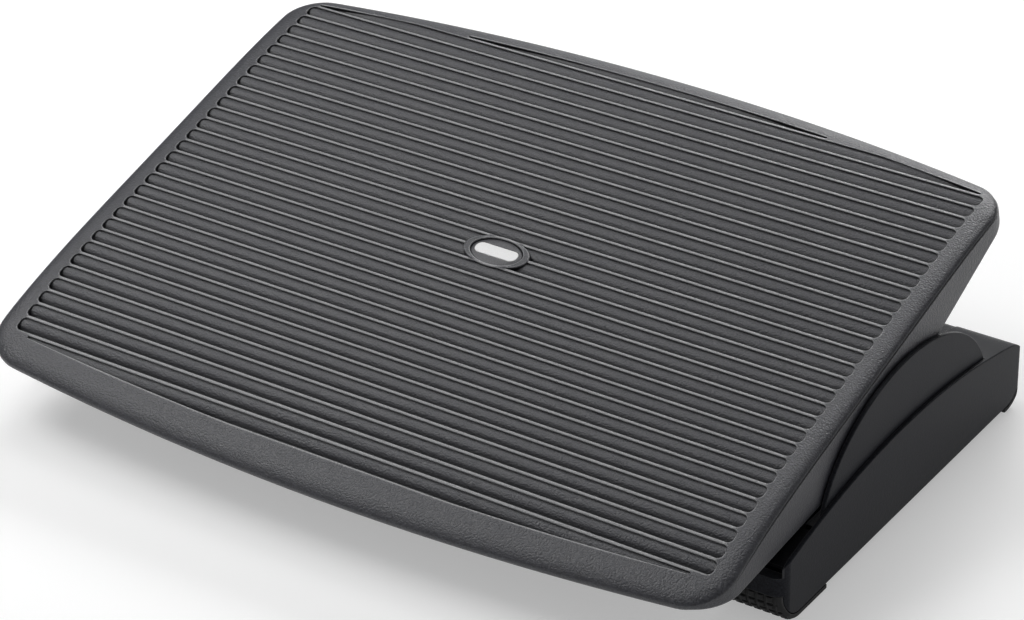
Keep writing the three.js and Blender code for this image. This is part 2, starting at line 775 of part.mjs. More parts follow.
// Side view of the foot under one end of a leg: end is -1 for the front and 1 for the rear
function footProfile(end, corner, length) {
  const centre = end * (legHalf - corner);
  const inner = corner - footThickness + seam;
  const level = end * (legHalf - length);
  const [down, out] = [270, 270 + end * 90];
  return [
    point(level, 0),
    ...arc(centre, corner, corner, corner, down, out, cornerSteps),
    point(end * legHalf, footTop - seam),
    point(end * (legHalf - footThickness + seam), footTop - seam),
    ...arc(centre, corner, inner, inner, out, down, cornerSteps),
    point(level, footThickness - seam),
  ];
}

function rubberFoot(end, corner, length, pegPlace) {
  const body = prismX(footProfile(end, corner, length), legInner, legOuter).intersect(legPlan());
  const pegTop = legFloorTop - seam;
  const pegs = pegSpots(pegPlace).map((p) => rodZ(pegRadius, footThickness / 2, pegTop, p.x, p.y));
  const flat = length - corner;
  const flatGrooves = Math.floor(flat / treadPitch);
  const turn = (treadPitch / corner / degree) * end;
  const turnGrooves = Math.floor(90 / Math.abs(turn)) - 1;
  const centre = end * (legHalf - corner);
  const groove = (y) =>
    new THREE.BoxGeometry(legWidth + overrun, treadGroove, treadDepth + overrun).translate(
      (legInner + legOuter) / 2,
      y,
      (treadDepth - overrun) / 2,
    );
  const straight = Array.from({ length: flatGrooves }, (_, i) =>
    solidOf(groove(centre - end * i * treadPitch)),
  );
  const turned = Array.from({ length: turnGrooves }, (_, i) => {
    const geometry = groove(0).translate(0, 0, -corner).rotateX((i + 1) * turn * degree);
    return solidOf(geometry.translate(0, centre, corner));
  });
  return cut(union([body, ...pegs]), [...straight, ...turned]);
}

function pivotTower() {
  const gussetFoot = flangeTop - flangeThickness / 2;
  const gussets = gussetPlace_shares.map((share) => {
    const y = share * flangeHalfLength;
    const outline = [
      point(flangeInner, gussetFoot),
      point(towerMiddle, gussetFoot),
      point(towerMiddle, gussetTop),
      point(towerInner - gusset, gussetTop),
    ];
    return prismY(outline, y - gusset / 2, y + gusset / 2);
  });
  const bossTop = screwFace + towerScrewLength + screwBossSpare;
  const bosses = Object.values(towerScrewSpots()).map((y) =>
    rodZ(screwBoss, gussetFoot, bossTop, towerScrewX, y),
  );
  const pinEnd = deckHalf - skirtWall - stopPinSpare;
  const body = union([
    prismX(domeProfile(0), towerInner, towerOuter),
    block(flangeInner, towerMiddle, -flangeHalfLength, flangeHalfLength, flangeBase, flangeTop),
    ...gussets,
    ...bosses,
    rodX(stubRadius, stubEnd, towerMiddle, 0, pivotHeight),
    rodX(stopPinRadius, pinEnd, towerMiddle, 0, pivotHeight - stopReach),
  ]);
  const bore = stubEnd + pivotScrewLength + seam;
  return cut(body, [
    rodX(pivotScrewRadius + seam, stubEnd - overrun, bore, 0, pivotHeight),
    ...Object.values(towerScrewSpots()).map((y) => screwBore(towerScrewX, y, flangeBase, towerScrewLength)),
  ]);
}

// Section of the crossbar between the legs; the hollow in it lies `inset` inside and is open below
function barProfile(inset) {
  const rear = barRear - inset;
  const front = barFront + inset;
  const corner = barCorner - inset;
  const drop = barDrop + inset;
  const foot = inset ? barBase - overrun : barBase;
  return [
    point(front, foot),
    point(rear - corner, foot),
    ...arc(rear - corner, barBase + barCorner, corner, corner, 270, 360, cornerSteps),
    ...topCorner(rear, corner, drop),
    ...archPoints(rear - corner, front, drop),
  ];
}

// A cross rib fills the hollow and reaches half way into the walls
function barRibProfile() {
  const half = barWall / 2;
  const rear = barRear - half;
  const front = barFront + half;
  const corner = barCorner - half;
  return [
    point(front, barBase + half),
    ...arc(rear - corner, barBase + barCorner, corner, corner, 270, 360, cornerSteps),
    ...topCorner(rear, corner, barDrop + half),
    ...archPoints(rear - corner, front, barDrop + half),
  ];
}

// Hollow of a plug: its section drawn in by the wall and open below
function plugHollow() {
  const outline = socketProfile(seam + barWall);
  const lowest = Math.min(...outline.map((p) => p.y));
  const below = [
    point(outline[0].x, lowest - barWall - overrun),
    point(legEndInner - seam - barWall, lowest - barWall - overrun),
  ];
  const upper = outline.filter((p) => p.y > legBottomRearCorner - seam);
  return prismX([...below, ...upper], barEnd + barWall, plugEnd - barWall);
}

function rearCrossbar() {
  const span = prismX(barProfile(0), -barEnd, barEnd);
  const hollow = prismX(barProfile(barWall), -barEnd + barWall, barEnd - barWall);
  const plug = prismX(socketProfile(seam), barEnd - barWall / 2, plugEnd).subtract(plugHollow());
  const bossTop = screwFace + crossbarScrewLength + screwBossSpare;
  const bosses = Object.values(crossbarScrewSpots()).map((x) =>
    rodZ(screwBoss, legFloorTop + seam, bossTop, x, crossbarScrewPlace),
  );
  const braces = Object.values(crossbarScrewSpots()).map((x) =>
    prismX(socketProfile(seam + barWall / 2), x - barRib / 2, x + barRib / 2),
  );
  const holes = Object.values(crossbarScrewSpots()).map((x) =>
    screwBore(x, crossbarScrewPlace, legFloorTop + seam, crossbarScrewLength),
  );
  const end = cut(union([plug, ...bosses, ...braces]), holes);
  const gap = (2 * barEnd) / (barRibs + 1);
  const ribs = Array.from({ length: barRibs }, (_, i) => {
    const x = -barEnd + gap * (i + 1);
    return prismX(barRibProfile(), x - barRib / 2, x + barRib / 2);
  });
  return union([span.subtract(hollow), ...ribs, end, mirrored(end)]);
}

// One side's pieces, drawn on the right; the left is its mirror image
function sidePieces(side) {
  const fixed = new THREE.Group();
  const frontFoot = rubberFoot(-1, legBottomFrontCorner, frontFootLength, frontPegPlace);
  const rearFoot = rubberFoot(1, legBottomRearCorner, rearFootLength, rearPegPlace);
  fixed.add(
    meshOf(`${side}_side_leg`, sideLeg(), blackBase),
    meshOf(`${side}_pivot_tower`, pivotTower(), blackBase),
    meshOf(`${side}_front_foot`, frontFoot, blackRubber),
    meshOf(`${side}_rear_foot`, rearFoot, blackRubber),
    meshOf(`${side}_pivot_washer`, pivotWasher(), zincSteel),
    meshOf(`${side}_pivot_screw`, pivotScrew(), zincSteel),
  );
  for (const [place, y] of Object.entries(towerScrewSpots())) {
    const screw = countersunkScrew(towerScrewX, y, towerScrewLength);
    fixed.add(meshOf(`${side}_tower_screw_${place}`, screw, zincSteel));
  }
  for (const [place, x] of Object.entries(crossbarScrewSpots())) {
    const screw = countersunkScrew(x, crossbarScrewPlace, crossbarScrewLength);
    fixed.add(meshOf(`${side}_crossbar_screw_${place}`, screw, zincSteel));
  }
  const turning = new THREE.Group();
  turning.add(
    meshOf(`${side}_pivot_bush`, pivotBush(), palePlastic),
    meshOf(`${side}_friction_ring`, frictionRing(), blackRubber),
  );
  const mirror = side === "left" ? -1 : 1;
  fixed.scale.x = mirror;
  turning.scale.x = mirror;
  return { fixed, turning };
}

// The deck and what turns with it, about the pivot
const deck = new THREE.Group();
const whole = wholeDeck();
const skirts = skirtSpace(seam);
const skirt = whole.intersect(skirtSpace(0));
deck.add(
  meshOf("foot_platform", cut(whole, [skirts, mirrored(skirts)]), blackDeck),
  meshOf("right_deck_skirt", skirt, blackDeck),
  meshOf("left_deck_skirt", mirrored(skirt), blackDeck),
  meshOf("badge_disc", badgeDisc(), blackDisc),
  meshOf("badge_label", badgeLabel(), whiteLabel),
);
deck.position.set(0, -pivotBehindRib, pivotBelowRib);

const tilting = new THREE.Group();
tilting.position.z = pivotHeight;
tilting.rotation.x = deckTilt * degree;
tilting.add(deck);

const base = new THREE.Group();
base.add(meshOf("rear_crossbar", rearCrossbar(), blackBase));
for (const side of ["right", "left"]) {
  const { fixed, turning } = sidePieces(side);
  base.add(fixed);
  tilting.add(turning);
}

// The part's origin lies on the floor under the middle of its overall box
const assembly = new THREE.Group();
assembly.add(base, tilting);
assembly.updateMatrixWorld(true);
const bounds = new THREE.Box3().setFromObject(assembly, true);
assembly.position.y = -(bounds.min.y + bounds.max.y) / 2;

const footrest = new THREE.Group();
footrest.add(assembly);

export default footrest;
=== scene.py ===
import math

import bpy
from mathutils import Matrix, Vector


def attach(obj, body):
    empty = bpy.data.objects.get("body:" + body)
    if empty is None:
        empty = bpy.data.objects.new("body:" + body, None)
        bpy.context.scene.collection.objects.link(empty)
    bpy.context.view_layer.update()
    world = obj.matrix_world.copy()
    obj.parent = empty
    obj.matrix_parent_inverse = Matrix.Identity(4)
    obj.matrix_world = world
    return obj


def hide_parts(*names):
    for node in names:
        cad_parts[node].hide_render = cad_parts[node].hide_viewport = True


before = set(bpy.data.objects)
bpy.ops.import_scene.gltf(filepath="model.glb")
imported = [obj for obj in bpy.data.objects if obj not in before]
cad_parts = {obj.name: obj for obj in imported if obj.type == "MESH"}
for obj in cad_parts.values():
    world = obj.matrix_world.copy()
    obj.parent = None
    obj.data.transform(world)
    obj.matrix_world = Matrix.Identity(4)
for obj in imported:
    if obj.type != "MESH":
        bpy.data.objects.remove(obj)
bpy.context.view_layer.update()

# The photographer's table: a white floor that runs out of the picture, soft panels overhead, at both sides
# and behind, of which the rear one draws the shine along the far rims, and a long lens that looks down on the
# footrest's near right-hand corner.
camera_place = (0.93596, -1.35684, 1.03404)
view_turn, view_drop, view_roll = math.radians(34.3), math.radians(30.6), math.radians(-1.14)
back = Vector((math.sin(view_turn) * math.cos(view_drop), -math.cos(view_turn) * math.cos(view_drop),
               math.sin(view_drop)))
across = Vector((math.cos(view_turn), math.sin(view_turn), 0.0))
upward = back.cross(across)
image_right = math.cos(view_roll) * across + math.sin(view_roll) * upward
image_up = math.cos(view_roll) * upward - math.sin(view_roll) * across
lens = bpy.data.cameras.new("photo_lens")
lens.sensor_width = 36.0
lens.lens = 129.09
lens.clip_end = 50.0
photo_camera = bpy.data.objects.new("photo_camera", lens)
photo_camera.matrix_world = Matrix.Translation(camera_place) @ Matrix(
    (image_right, image_up, back)).transposed().to_4x4()
bpy.context.collection.objects.link(photo_camera)
bpy.context.scene.camera = photo_camera
bpy.context.scene.view_settings.view_transform = "Standard"


def soft_light(name, place, aim, size, power):
    panel = bpy.data.lights.new(name, "AREA")
    panel.shape = "RECTANGLE"
    panel.size, panel.size_y = size
    panel.energy = power
    lamp = bpy.data.objects.new(name, panel)
    lamp.location = place
    lamp.rotation_euler = (Vector(aim) - Vector(place)).to_track_quat("-Z", "Y").to_euler()
    bpy.context.collection.objects.link(lamp)


table_middle = (0.0, 0.0, 0.05)
soft_light("overhead_panel", (-0.77, 0.77, 1.96), table_middle, (1.0, 0.8), 9.0)
soft_light("left_panel", (-0.95, -0.31, 1.33), table_middle, (0.9, 0.7), 11.5)
soft_light("rear_panel", (-0.33, 1.83, 1.15), table_middle, (1.2, 0.5), 24.0)
soft_light("front_left_panel", (-1.5, -1.28, 1.01), table_middle, (1.4, 1.0), 3.0)
soft_light("right_panel", (1.95, -0.22, 1.03), table_middle, (1.4, 1.0), 3.5)


class Wire:
    """A link in a finish's node tree. Arithmetic on it adds the sums that it stands for."""

    def __init__(self, tree, socket=None):
        self.tree, self.socket = tree, socket

    def add(self, kind, settings, inputs, output=0):
        node = self.tree.nodes.new("ShaderNode" + kind)
        for name, value in settings.items():
            setattr(node, name, value)
        for name, value in inputs.items():
            if isinstance(value, Wire):
                self.tree.links.new(value.socket, node.inputs[name])
            else:
                node.inputs[name].default_value = value
        return Wire(self.tree, node.outputs[output] if len(node.outputs) else None)

    def sum(self, operation, first, second):
        return self.add("Math", {"operation": operation}, {0: first, 1: second})

    def __add__(self, other):
        return self.sum("ADD", self, other)

    __radd__ = __add__

    def __mul__(self, other):
        return self.sum("MULTIPLY", self, other)

    __rmul__ = __mul__

    def __sub__(self, other):
        return self.sum("SUBTRACT", self, other)

    def __rsub__(self, other):
        return self.sum("SUBTRACT", other, self)


def new_finish(name):
    finish = bpy.data.materials.new(name)
    finish.use_nodes = True
    finish.node_tree.nodes.clear()
    return finish, Wire(finish.node_tree)


def put_on(finish, piece):
    piece.data.materials.clear()
    piece.data.materials.append(finish)


def seen_or_mirrored(make):
    kinds = ("Is Camera Ray", "Is Glossy Ray", "Is Transmission Ray")
    seen, mirrored, seen_through = [make.add("LightPath", {}, {}, kind) for kind in kinds]
    return seen + mirrored + seen_through


white, paper_shade = (1.0, 1.0, 1.0, 1.0), (0.7, 0.7, 0.7, 1.0)
paper_glow, sky_glow = 0.38, 0.14
floor_paper, make = new_finish("white_paper")
paper = make.add("BsdfDiffuse", {}, {"Color": paper_shade})
glow = make.add("Emission", {}, {"Color": white, "Strength": seen_or_mirrored(make) * paper_glow})
make.add("OutputMaterial", {}, {"Surface": make.add("AddShader", {}, {0: paper, 1: glow})})
bpy.ops.mesh.primitive_plane_add(size=30.0)
floor = bpy.context.active_object
floor.name = "floor"
put_on(floor_paper, floor)

sky = bpy.data.worlds.new("studio")
bpy.context.scene.world = sky
sky.use_nodes = True
sky.node_tree.nodes.clear()
make = Wire(sky.node_tree)
make.add("OutputWorld", {}, {"Surface": make.add("Background", {}, {"Color": white, "Strength": sky_glow})})


# The deck is one shallow tray moulded in black plastic, a little crowned from front to rear. Its top carries
# long pockets with rounded ends, and the narrow ridges left between them are what grips the shoes. A smooth
# rim rolls down to a small ledge, and under the ledge a skirt deepens toward the pivots.

# Every plastic of the footrest is moulded in a tool with an eroded grain, which breaks up its shine. Ridges
# and edges are painted lighter, partly as wear from shoes and partly as painted highlight, and the grooves
# between them are painted darker as painted shade.
def mixed(make, factor, first, second):
    ends = [shade if isinstance(shade, Wire) else (*shade, 1.0) for shade in (first, second)]
    return make.add("Mix", {"data_type": "RGBA"}, {"Factor": factor, "A": ends[0], "B": ends[1]}, 2)


def moulded_plastic(name, shade, roughness, grain_size, grain_depth, wear_and_highlight_lift, shine=0.5, wear_and_highlight_reach=0.001):
    finish, make = new_finish(name)
    place = make.add("TexCoord", {}, {}, "Object")
    grain = make.add("TexNoise", {}, {"Vector": place, "Scale": 1.0 / grain_size, "Detail": 2.0,
                                      "Roughness": 0.55})
    speck = make.add("MapRange", {}, {"Value": grain, "From Min": 0.36, "From Max": 0.64})
    cloud = make.add("TexNoise", {}, {"Vector": place, "Scale": 14.0, "Detail": 3.0})
    round_edge = make.add("Bevel", {"samples": 6}, {"Radius": 0.0006}, "Normal")
    # Painted shade: close to other surfaces of the piece, in grooves and hollows, the colour darkens towards
    # a quarter of the shade.
    free = make.add("AmbientOcclusion", {"samples": 8, "only_local": True}, {"Distance": 0.005}, "AO")
    open_air = make.add("MapRange", {}, {"Value": free, "From Min": 0.5, "From Max": 0.92})
    # Ridges and thin edges are found by rays shot inward. There the colour is lifted lighter, partly wear and
    # partly painted highlight.
    body = make.add("AmbientOcclusion", {"samples": 8, "only_local": True, "inside": True},
                    {"Distance": wear_and_highlight_reach}, "AO")
    wear_and_highlight = open_air * make.add("MapRange", {"interpolation_type": "SMOOTHSTEP"},
                               {"Value": 1.0 - body + (grain - 0.5) * 0.1, "From Min": 0.2, "From Max": 0.5})
    light = [min(1.0, c + wear_and_highlight_lift) for c in shade]
    pale, deep, painted_shade = [[min(1.0, c * k) for c in shade] for k in (1.4, 0.6, 0.25)]
    mottle = speck * 0.75 + cloud * 0.25
    plain = mixed(make, mottle, deep, pale)
    hollow = mixed(make, open_air, painted_shade, plain)
    colour = mixed(make, wear_and_highlight, hollow, light)
    bump = make.add("Bump", {}, {"Strength": 1.0, "Distance": grain_depth, "Height": grain,
                                 "Normal": round_edge})
    skin = make.add("BsdfPrincipled", {}, {
        "Base Color": colour,
        "Roughness": roughness + (speck - 0.5) * 0.12 + (cloud - 0.5) * 0.1 - wear_and_highlight * 0.12,
        "Specular IOR Level": shine,
        "Normal": bump,
    })
    make.add("OutputMaterial", {}, {"Surface": skin})
    return finish


# On the deck the ridges and edges are lifted by 0.3, which is wear and painted highlight.
deck_plastic = moulded_plastic("grained_black", (0.035, 0.036, 0.044), 0.42, 0.001, 0.0004, 0.3, 0.6, 0.0018)
mm = 0.001
deck_turn, deck_middle, deck_rise = math.radians(15.3), 2.0175, 93.46
deck_half, deck_front, deck_rear = 224.5, 173.2, 161.5
front_bow, rear_bow, deck_corner = 12.3, 20.0, 24.0
side_steps, corner_steps, bow_steps = 30, 14, 56
crown_reach, crown_terms = 135.6, ((1.4, 2), (0.55, 3), (-5.27, 4))
rim_inner, rim_roll, rim_drop, ledge_drop = 11.0, 8.0, 2.4, 3.1
ledge_width, ledge_start, ledge_full = 0.7, -160.0, -95.0
skirt_sheet, skirt_low, skirt_slope, skirt_deepest, skirt_least = 2.8, -39.7, 0.176, -15.5, 4.7
rib_pitch, ribs_each_way, ridge_front, ridge_rear = 9.69, 15, 0.65, 0.9
pocket_half, pocket_front, pocket_rear, pocket_corner = 212.7, 155.0, 151.5, 3.0
pocket_front_bow, pocket_rear_bow = 8.6, 14.2
pocket_edge, pocket_deepest = 0.35, 2.9
cut_start, lip = 1.0, 0.01
sheet, weld = 4.6, 0.004
pivot_s, pivot_n = 19.7, -30.3


def crown(s):
    return sum(height * (s / crown_reach) ** power for height, power in crown_terms)


def skirt_foot(s):
    return min(skirt_low + skirt_slope * abs(s - skirt_deepest), crown(s) - skirt_least) - crown(s)


def ramp(value, low, high):
    t = min(1.0, max(0.0, (value - low) / (high - low)))
    return t * t * (3.0 - 2.0 * t)


def bow_line(x, half, reach, bow):
    radius = (half ** 2 + bow ** 2) / (2.0 * bow)
    return reach - radius + math.sqrt(radius ** 2 - x ** 2)


def deck_outline():
    outline, half, corner = [], deck_half, deck_corner

    def arc(x, y, radius, start, end, steps):
        for i in range(steps):
            turn = start + (end - start) * i / steps
            out = Vector((math.cos(turn), math.sin(turn), 0.0))
            outline.append((Vector((x, y, 0.0)) + radius * out, out))

    def end_arcs(reach, bow):
        radius = (half ** 2 + bow ** 2) / (2.0 * bow)
        rise = math.sqrt((radius - corner) ** 2 - (half - corner) ** 2)
        return radius, reach - radius, reach - radius + rise, math.atan2(rise, half - corner)

    rear_radius, rear_centre, rear_corner, rear_meet = end_arcs(deck_rear, rear_bow)
    front_radius, front_centre, front_corner, front_meet = end_arcs(deck_front, front_bow)
    length = rear_corner + front_corner
    for i in range(side_steps):
        y = length * i / side_steps - front_corner
        outline.append((Vector((half, y, 0.0)), Vector((1.0, 0.0, 0.0))))
    arc(half - corner, rear_corner, corner, 0.0, rear_meet, corner_steps)
    arc(0.0, rear_centre, rear_radius, rear_meet, math.pi - rear_meet, bow_steps)
    arc(corner - half, rear_corner, corner, math.pi - rear_meet, math.pi, corner_steps)
    for i in range(side_steps):
        y = rear_corner - length * i / side_steps
        outline.append((Vector((-half, y, 0.0)), Vector((-1.0, 0.0, 0.0))))
    arc(corner - half, -front_corner, corner, math.pi, math.pi + front_meet, corner_steps)
    arc(0.0, -front_centre, front_radius, math.pi + front_meet, math.tau - front_meet, bow_steps)
    arc(half - corner, -front_corner, corner, math.tau - front_meet, math.tau, corner_steps)
    return outline


def tray_blank():
    points, faces = [], []
    outline = deck_outline()
    for at, out in outline:
        ledge = ledge_width * ramp(abs(out.x), 0.2, 0.9) * ramp(at.y, ledge_start, ledge_full)
        foot = skirt_foot(at.y)
        section = [(rim_inner, 0.0)]
        for i in range(9):
            turn = math.pi / 2.0 * (1.0 - i / 8.0)
            section.append((ledge + (rim_roll - ledge) * (1.0 - math.cos(turn)),
                            -rim_drop * (1.0 - math.sin(turn))))
        section += [(ledge, -ledge_drop), (0.0, -ledge_drop - 0.2), (0.0, foot + 0.5), (0.15, foot + 0.15),
                    (0.5, foot), (skirt_sheet - 0.4, foot), (skirt_sheet, foot + 0.3),
                    (skirt_sheet, 0.4 - sheet), (rim_roll, -sheet)]
        points += [at - inward * out + Vector((0.0, 0.0, n)) for inward, n in section]
    rows, count = len(outline), len(section)
    for i in range(rows):
        after = (i + 1) % rows
        for j in range(count - 1):
            faces.append((i * count + j, i * count + j + 1, after * count + j + 1, after * count + j))
    faces.append([i * count for i in range(rows)])
    faces.append([i * count + count - 1 for i in reversed(range(rows))])
    mesh = bpy.data.meshes.new("deck")
    mesh.from_pydata(points, [], faces)
    tray = bpy.data.objects.new("deck", mesh)
    bpy.context.collection.objects.link(tray)
    return tray


def work_on(piece):
    bpy.ops.object.select_all(action="DESELECT")
    piece.select_set(True)
    bpy.context.view_layer.objects.active = piece
    bpy.ops.object.mode_set(mode="EDIT")
    bpy.ops.mesh.select_all(action="SELECT")


def finish_work():
    bpy.ops.mesh.select_all(action="SELECT")
    bpy.ops.mesh.normals_make_consistent(inside=False)
    bpy.ops.object.mode_set(mode="OBJECT")
    return bpy.context.active_object


def pull(x, y, z):
    bpy.ops.mesh.extrude_region_move(TRANSFORM_OT_translate={"value": (x, y, z)})


def laid_face(name, points, facing):
    bpy.ops.object.select_all(action="DESELECT")
    bpy.ops.mesh.primitive_circle_add(vertices=len(points), fill_type="NGON")
    piece = bpy.context.active_object
    piece.name = name
    for corner, point in zip(piece.data.vertices, points):
        corner.co = point
    piece.data.update()
    if piece.data.polygons[0].normal.dot(facing) < 0.0:
        piece.data.flip_normals()
    work_on(piece)
    return piece


def drop_with_round_edge(radius):
    for i in range(3):
        turn, onward = math.radians(90.0 / 3.5 * (i + 0.5)), math.radians(90.0 / 3.5 * (i + 1.5))
        if i == 2:
            onward = math.pi / 2.0
        bpy.ops.mesh.inset(thickness=radius * (math.sin(onward) - math.sin(turn)),
                           depth=radius * (math.cos(turn) - math.cos(onward)))


def raise_with_round_edge(radius, steps=3):
    for i in range(steps):
        start, onward = math.pi / 2.0 * i / steps, math.pi / 2.0 * (i + 1) / steps
        bpy.ops.mesh.inset(thickness=radius * (math.cos(start) - math.cos(onward)),
                           depth=radius * (math.sin(onward) - math.sin(start)))


def select_all_of(pieces):
    bpy.ops.object.select_all(action="DESELECT")
    for piece in pieces:
        piece.select_set(True)
    bpy.context.view_layer.objects.active = pieces[0]


def joined(pieces):
    select_all_of(pieces)
    bpy.ops.object.join()
    return pieces[0]


def combine(piece, tool, operation):
    change = piece.modifiers.new(operation, "BOOLEAN")
    change.operation, change.solver, change.object = operation, "EXACT", tool
    select_all_of([piece])
    bpy.ops.object.modifier_apply(modifier=change.name)
    bpy.data.objects.remove(tool)
    return piece


def pocket_outline(low, high, spare):
    def edges(x):
        x = min(abs(x), pocket_half)
        return (max(low, -bow_line(x, pocket_half, pocket_front, pocket_front_bow)),
                min(high, bow_line(x, pocket_half, pocket_rear, pocket_rear_bow)))

    end = pocket_half
    while edges(end)[1] - edges(end)[0] < 1.2:
        end -= 0.25
    near, far = edges(end)
    corner = min(pocket_corner, (far - near) / 2.0)
    right = [end - corner * (1.0 - math.cos(math.radians(15.0 * i))) for i in range(7)]
    if edges(end) != edges(0.0):
        right += [right[-1] * (1.0 - i / 24.0) for i in range(1, 24)]
    stations = [*right, 0.0, *[-x for x in reversed(right)]]

    def pinch(x):
        past = max(0.0, abs(x) - (end - corner))
        return corner - math.sqrt(max(0.0, corner ** 2 - past ** 2))

    def spaced(x):
        return x + math.copysign(spare * max(0.0, (abs(x) - end + corner) / corner), x)

    def inward(x):
        return pinch(x) - spare * (1.0 - pinch(x) / corner)

    rear = [(spaced(x), edges(x)[1] - inward(x)) for x in stations]
    front = [(spaced(x), edges(x)[0] + inward(x)) for x in reversed(stations)]
    outline = [*rear, *front]
    return [p for i, p in enumerate(outline) if math.dist(p, outline[i - 1]) > 0.02]


def pocket_cutter(rib):
    low, high = (rib - 1) * rib_pitch + ridge_rear, rib * rib_pitch - ridge_front
    outline = pocket_outline(low, high, pocket_edge * 0.8)
    laid_face("pocket", [(x, y, cut_start) for x, y in outline], Vector((0.0, 0.0, -1.0)))
    pull(0.0, 0.0, lip - cut_start)
    drop_with_round_edge(pocket_edge)
    pull(0.0, 0.0, -pocket_deepest - 0.2)
    return finish_work()


def floor_of_pockets():
    line = [(ribs_each_way * rib_pitch + rib_pitch + 4.0, 3.0)]
    for rib in range(ribs_each_way + 1, -ribs_each_way - 2, -1):
        edge = rib * rib_pitch - ridge_front
        line += [(edge + 0.6, -1.0), (edge - 0.2, -1.15), (edge - 0.65, -1.15), (edge - 0.95, -0.8),
                 (edge - 1.8, -0.83), (edge - 2.8, -1.0), (edge - 3.7, -1.24), (edge - 4.4, -1.52),
                 (edge - 5.1, -1.95), (edge - 5.7, -2.45), (edge - 6.2, -pocket_deepest),
                 (edge - 8.9, -pocket_deepest)]
    line.append((line[-1][0], 3.0))
    start = -pocket_half - 4.0
    laid_face("pocket_floor", [(start, s, n) for s, n in line], Vector((-1.0, 0.0, 0.0)))
    pull(-2.0 * start, 0.0, 0.0)
    return finish_work()


def oval(length, width, height, steps):
    turns = [math.tau * i / steps for i in range(steps)]
    return [(length / 2.0 * math.cos(t), width / 2.0 * math.sin(t), height) for t in turns]


def block(low, high):
    bpy.ops.object.select_all(action="DESELECT")
    centre = [(a + b) / 2.0 for a, b in zip(low, high)]
    bpy.ops.mesh.primitive_cube_add(size=1.0, location=centre, scale=[b - a for a, b in zip(low, high)])
    bpy.ops.object.transform_apply(location=True, rotation=False, scale=True)
    return bpy.context.active_object


def rod_across(radius, start, end, s, n, corners=48):
    turns = [math.tau * i / corners for i in range(corners)]
    points = [(start, s + radius * math.cos(t), n + radius * math.sin(t)) for t in turns]
    laid_face("rod", points, Vector((math.copysign(1.0, start - end), 0.0, 0.0)))
    pull(end - start, 0.0, 0.0)
    return finish_work()


deck = tray_blank()
pockets = joined([pocket_cutter(rib) for rib in range(-ribs_each_way, ribs_each_way + 2)])
combine(pockets, floor_of_pockets(), "INTERSECT")
combine(deck, pockets, "DIFFERENCE")

pad_length, pad_width, pad_foot, pad_wall, pad_edge = 39.0, 21.6, -4.0, 3.7, 0.6
recess_length, recess_width, recess_depth, recess_edge = 31.4, 19.4, 1.8, 0.4
pad_top = pad_foot + pad_wall + pad_edge
laid_face("badge_pad", oval(pad_length, pad_width, pad_foot, 64), Vector((0.0, 0.0, 1.0)))
pull(0.0, 0.0, pad_wall)
raise_with_round_edge(pad_edge)
combine(deck, finish_work(), "UNION")
laid_face("disc_recess", oval(recess_length, recess_width, pad_top + cut_start, 64), Vector((0.0, 0.0, -1.0)))
pull(0.0, 0.0, lip - cut_start)
drop_with_round_edge(recess_edge)
pull(0.0, 0.0, -recess_depth)
combine(deck, finish_work(), "DIFFERENCE")

# Underneath, thin stiffening ribs cross the tray. At each side a round boss on three webs holds the pivot's
# bush, and an ear below it has the curved slot that stops the tilt.
stiff_middle, stiff_half = (pocket_rear - pocket_front) / 2.0, (pocket_rear + pocket_front) / 2.0
stiff_end, stiff_half_sheet, stiff_top, stiff_depth, stiff_taper = 223.0, 1.1, -4.0, -9.6, 14.0
web_start, web_sheet, boss_start, boss, side_end = 210.7, 2.5, 210.5, 15.0, 224.4
ear_start, ear, bush_seat, ring_seat_start, ring_seat = 221.9, 26.0, 9.3, 223.4, 12.3
slot_reach, slot_half, slot_start = 19.0, 2.8, 215.0
slot_turns = (-89.1, -93.5, -97.8, -102.2, -106.5, -110.9)
outside_deck, inside_boss = 230.0, 200.0
crosswise = [stiff_middle + share * stiff_half for share in (-0.78, -0.4, 0.0, 0.4, 0.78)]
lengthwise = [share * pocket_half for share in (-0.78, -0.39, 0.0, 0.39, 0.78)]
stiffeners = [block((-stiff_end, s - stiff_half_sheet, stiff_depth),
                    (stiff_end, s + stiff_half_sheet, stiff_top)) for s in crosswise]
underside = stiffeners[0]
for stiffener in stiffeners[1:]:
    combine(underside, stiffener, "UNION")
for x in lengthwise:
    ends = [stiff_middle - stiff_half, stiff_middle + stiff_half]
    profile = [(ends[0], stiff_top), (ends[0], stiff_top - 0.7), (ends[0] + stiff_taper, stiff_depth),
               (ends[1] - stiff_taper, stiff_depth), (ends[1], stiff_top - 0.7), (ends[1], stiff_top)]
    laid_face("stiffener", [(x - stiff_half_sheet, s, n) for s, n in profile], Vector((-1.0, 0.0, 0.0)))
    pull(2.0 * stiff_half_sheet, 0.0, 0.0)
    combine(underside, finish_work(), "UNION")
for side in (1.0, -1.0):
    for s in (pivot_s - boss, pivot_s - web_sheet / 2.0, pivot_s + boss - web_sheet):
        low, high = sorted((side * web_start, side * stiff_end))
        combine(underside, block((low, s, pivot_n), (high, s + web_sheet, stiff_top)), "UNION")
    combine(underside, rod_across(boss, side * boss_start, side * side_end, pivot_s, pivot_n), "UNION")
    combine(underside, rod_across(ear, side * ear_start, side * side_end, pivot_s, pivot_n, 64), "UNION")
combine(deck, underside, "UNION")
